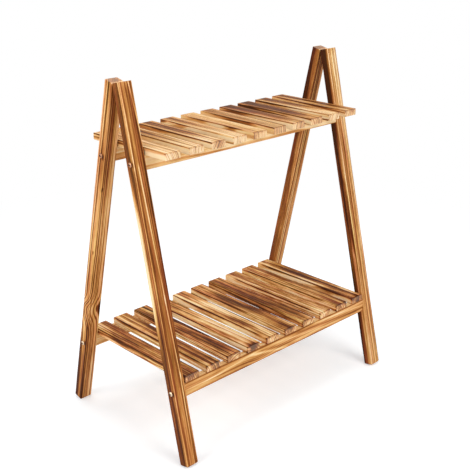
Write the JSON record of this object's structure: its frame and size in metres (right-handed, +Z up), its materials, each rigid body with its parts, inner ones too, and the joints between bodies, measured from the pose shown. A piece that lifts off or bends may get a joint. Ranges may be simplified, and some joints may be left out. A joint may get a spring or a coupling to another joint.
{
  "type": "tiered plant stand",
  "caption": "Tiered A-frame plant stand of scorched square timber: leaning legs bolted to slatted shelves, the upper shelf reaching past its rails and the lower one lying between the legs.",
  "frame": {"origin": "on the floor under the middle of the stand, centre of the bottom of the bounding box", "axes": "+X along the shelves to the right, +Y from the front to the rear, +Z up"},
  "size_m": [0.6052, 0.3748, 0.7244],
  "materials": {
    "leg_wood": "scorched and sealed softwood, red-brown with dark grain, satin",
    "rail_wood": "lightly scorched softwood, honey brown, satin",
    "lower_slat_wood": "scorched softwood, mid brown with dark streaks, satin",
    "upper_slat_wood": "lightly scorched softwood, honey with brown grain, satin",
    "bolt_steel": "zinc-plated steel, dull",
    "insert_brass": "plain brass",
    "screw_steel": "yellow zinc-plated steel"
  },
  "bodies": {
    "root": {"left_front_leg": "leg_wood", "left_rear_leg": "leg_wood", "right_front_leg": "leg_wood", "right_rear_leg": "leg_wood", "lower_front_rail": "rail_wood", "lower_rear_rail": "rail_wood", "upper_front_rail": "rail_wood", "upper_rear_rail": "rail_wood", "lower_slat_1": "lower_slat_wood", "lower_slat_2": "lower_slat_wood", "lower_slat_3": "lower_slat_wood", "lower_slat_4": "lower_slat_wood", "lower_slat_5": "lower_slat_wood", "lower_slat_6": "lower_slat_wood", "lower_slat_7": "lower_slat_wood", "lower_slat_8": "lower_slat_wood", "lower_slat_9": "lower_slat_wood", "lower_slat_10": "lower_slat_wood", "upper_slat_1": "upper_slat_wood", "upper_slat_2": "upper_slat_wood", "upper_slat_3": "upper_slat_wood", "upper_slat_4": "upper_slat_wood", "upper_slat_5": "upper_slat_wood", "upper_slat_6": "upper_slat_wood", "upper_slat_7": "upper_slat_wood", "upper_slat_8": "upper_slat_wood", "upper_slat_9": "upper_slat_wood", "upper_slat_10": "upper_slat_wood", "left_frame_bolts": "bolt_steel", "right_frame_bolts": "bolt_steel", "left_threaded_inserts": "insert_brass", "right_threaded_inserts": "insert_brass", "lower_front_slat_screws": "screw_steel", "lower_rear_slat_screws": "screw_steel", "upper_front_slat_screws": "screw_steel", "upper_rear_slat_screws": "screw_steel"}
  },
  "joints": []
}
